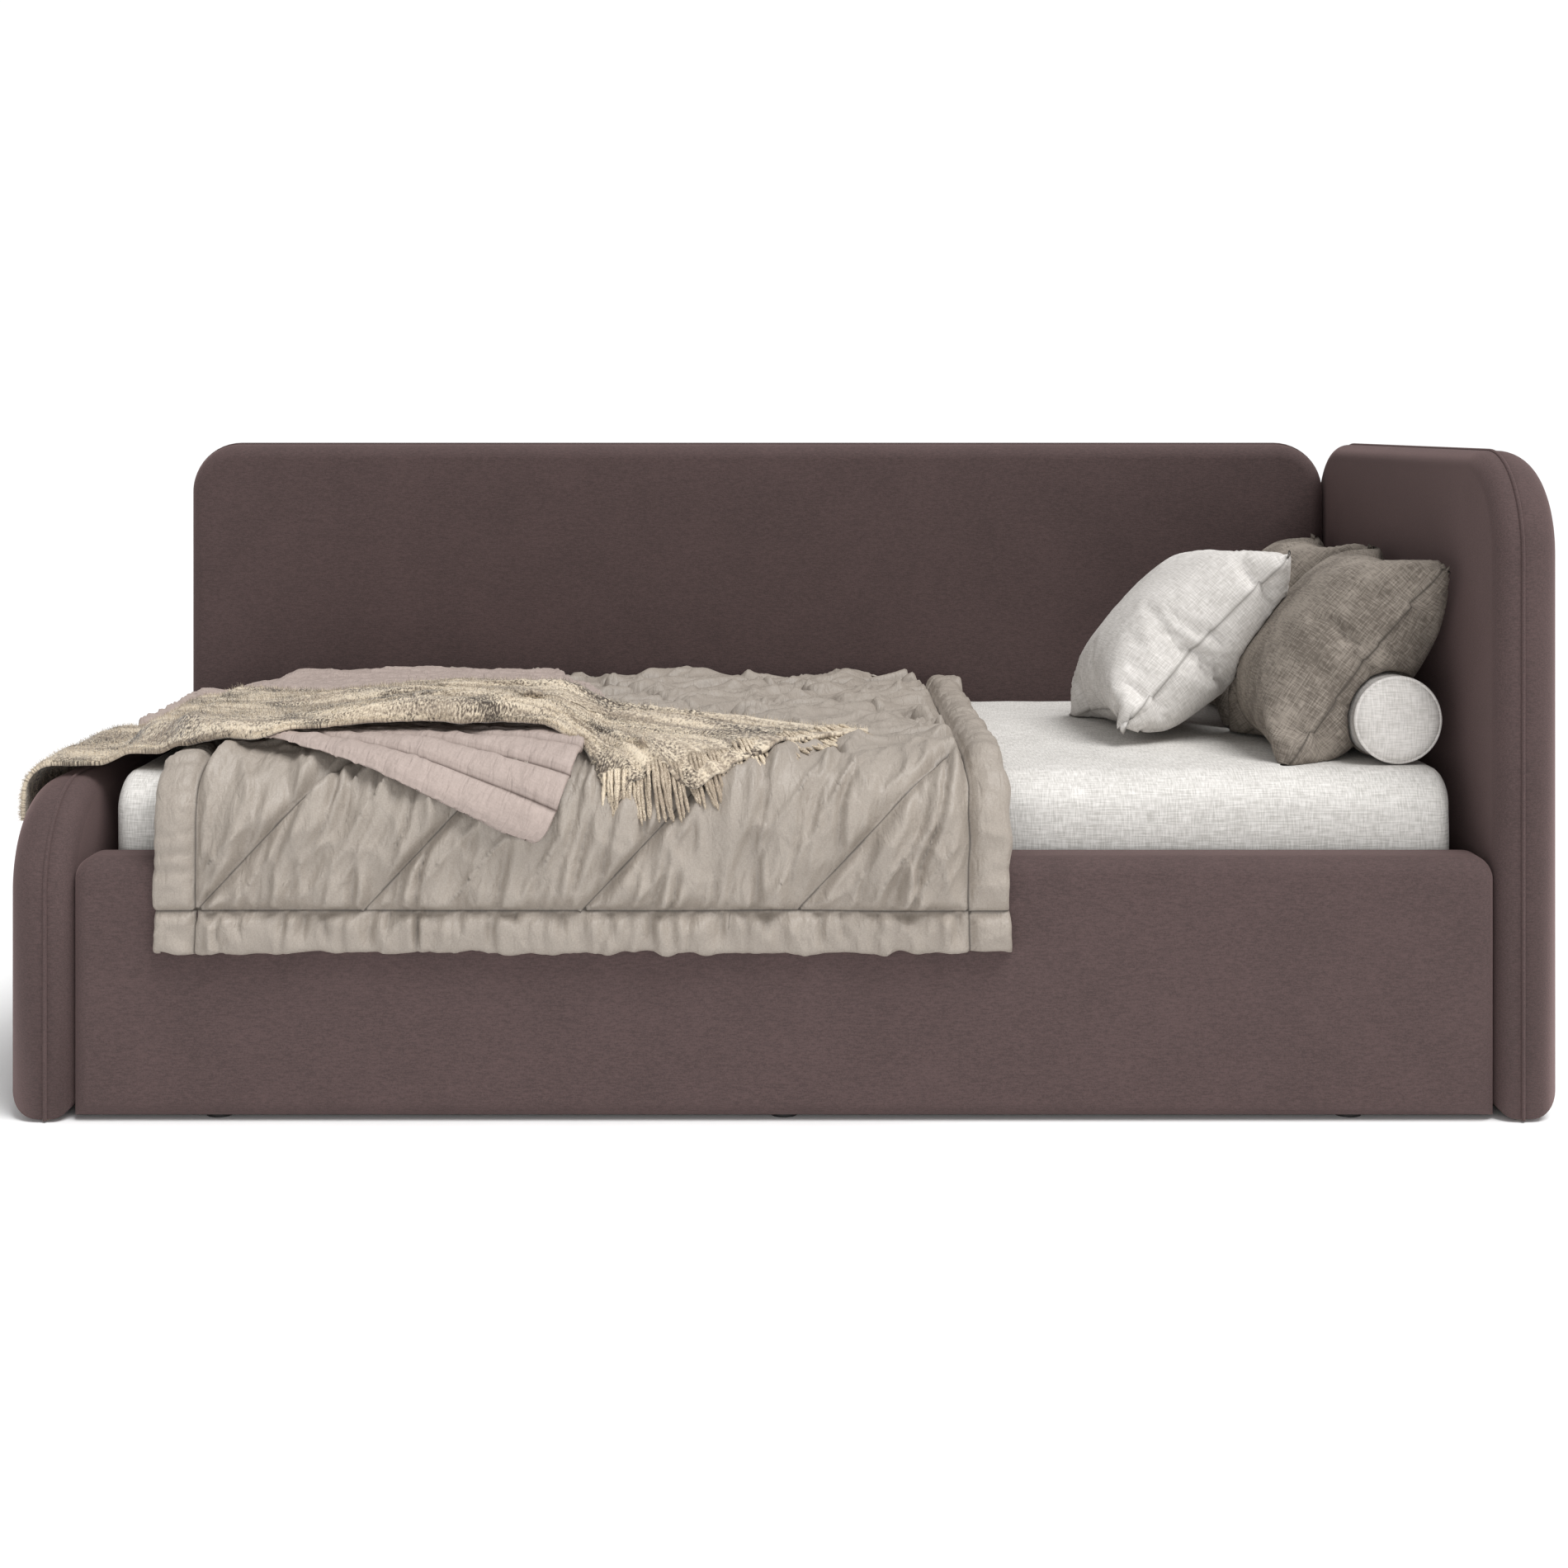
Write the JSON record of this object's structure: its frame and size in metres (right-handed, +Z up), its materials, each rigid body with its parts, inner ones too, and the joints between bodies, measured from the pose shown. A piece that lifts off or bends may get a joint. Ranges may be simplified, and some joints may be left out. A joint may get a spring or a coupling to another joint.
{
  "type": "daybed",
  "caption": "Upholstered daybed with head, foot and back panels, its mattress base lifting level on gas springs over a storage box, made up with quilts, a throw and cushions.",
  "frame": {"origin": "on the floor, under the middle of the bed's plan", "axes": "+X towards the head panel (right end seen from the front), +Y towards the back panel, +Z up"},
  "size_m": [2.268, 1.106, 0.971],
  "materials": {
    "panel_board": "matte",
    "upholstery": "matte",
    "piping": "matte",
    "floor_sheet": "satin",
    "pine": "matte",
    "glide_plastic": "matte",
    "zinc_steel": "satin",
    "fastener_steel": "satin",
    "powder_steel": "satin",
    "barrel_paint": "gloss",
    "rod_chrome": "polished",
    "beech_slat": "satin",
    "holder_plastic": "matte",
    "webbing": "matte",
    "white_linen": "matte",
    "taupe_satin": "satin",
    "pink_cotton": "matte",
    "throw_wool": "matte",
    "fringe_wool": "matte",
    "cushion_white_linen": "matte",
    "cushion_brown_linen": "matte",
    "bolster_linen": "matte"
  },
  "bodies": {
    "bed_box": {"headboard_core": "panel_board", "headboard_inner_pad": "upholstery", "headboard_outer_pad": "upholstery", "headboard_piping": "piping", "footboard_core": "panel_board", "footboard_inner_pad": "upholstery", "footboard_outer_pad": "upholstery", "footboard_piping": "piping", "back_core": "panel_board", "back_front_pad": "upholstery", "back_rear_pad": "upholstery", "back_piping": "piping", "rail_board": "panel_board", "rail_pad": "upholstery", "rear_board": "panel_board", "end_board_head": "panel_board", "end_board_foot": "panel_board", "floor_panel": "floor_sheet", "floor_battens": "pine", "floor_cleats": "pine", "glides": "glide_plastic", "corner_brackets": "zinc_steel", "corner_screws": "fastener_steel", "base_rests": "pine", "side_plate_front": "powder_steel", "side_plate_rear": "powder_steel", "side_plate_screws": "fastener_steel", "pivot_pins": "fastener_steel", "spring_low_studs": "fastener_steel"},
    "foot_arms": {"foot_arm_front": "powder_steel", "foot_arm_rear": "powder_steel", "foot_tube": "powder_steel", "spring_high_studs": "fastener_steel"},
    "head_arms": {"head_arm_front": "powder_steel", "head_arm_rear": "powder_steel", "head_tube": "powder_steel"},
    "spring_barrel_f": {"spring_barrel_front": "barrel_paint"},
    "spring_barrel_r": {"spring_barrel_rear": "barrel_paint"},
    "spring_rod_f": {"spring_rod_front": "rod_chrome"},
    "spring_rod_r": {"spring_rod_rear": "rod_chrome"},
    "lift_base": {"base_rail_front": "pine", "base_rail_rear": "pine", "base_end_head": "pine", "base_end_foot": "pine", "base_crossbar": "pine", "top_plate_front": "powder_steel", "top_plate_rear": "powder_steel", "top_plate_screws": "fastener_steel", "slats": "beech_slat", "slat_holders": "holder_plastic", "pull_strap": "webbing", "mattress": "white_linen", "quilt": "taupe_satin", "foot_quilt": "pink_cotton", "throw": "throw_wool", "throw_fringe": "fringe_wool", "cushion_white": "cushion_white_linen", "cushion_brown_front": "cushion_brown_linen", "cushion_brown_back": "cushion_brown_linen", "bolster": "bolster_linen"}
  },
  "joints": [
    {"name": "base_lift", "type": "hinge", "parent": "bed_box", "child": "foot_arms", "pos_m": [-0.86, -0.023, 0.19], "axis": [0, -1, 0], "range_deg": [0, 35]},
    {"name": "head_arm_swing", "type": "hinge", "parent": "bed_box", "child": "head_arms", "pos_m": [-0.06, -0.023, 0.19], "axis": [0, -1, 0], "range_deg": [0, 35]},
    {"name": "base_level", "type": "hinge", "parent": "foot_arms", "child": "lift_base", "pos_m": [-0.16, -0.023, 0.19], "axis": [0, -1, 0], "range_deg": [-35, 0]},
    {"name": "spring_turn_front", "type": "hinge", "parent": "bed_box", "child": "spring_barrel_f", "pos_m": [-0.68126, -0.023, 0.04526], "axis": [0, -1, 0], "range_deg": [0, 17.5]},
    {"name": "spring_turn_rear", "type": "hinge", "parent": "bed_box", "child": "spring_barrel_r", "pos_m": [-0.68126, -0.023, 0.04526], "axis": [0, -1, 0], "range_deg": [0, 17.5]},
    {"name": "spring_stroke_front", "type": "slide", "parent": "spring_barrel_f", "child": "spring_rod_f", "axis": [0.2419, 0, 0.9703], "range_m": [0, 0.1184]},
    {"name": "spring_stroke_rear", "type": "slide", "parent": "spring_barrel_r", "child": "spring_rod_r", "axis": [0.2419, 0, 0.9703], "range_m": [0, 0.1184]}
  ],
  "couplings": [
    {"joint": "head_arm_swing", "follows": "base_lift", "ratio": 1},
    {"joint": "base_level", "follows": "base_lift", "ratio": -1},
    {"joint": "spring_turn_front", "follows": "base_lift", "ratio": 0.5},
    {"joint": "spring_turn_rear", "follows": "base_lift", "ratio": 0.5},
    {"joint": "spring_stroke_front", "follows": "base_lift", "m_per_rad": 0.1938},
    {"joint": "spring_stroke_rear", "follows": "base_lift", "m_per_rad": 0.1938}
  ]
}
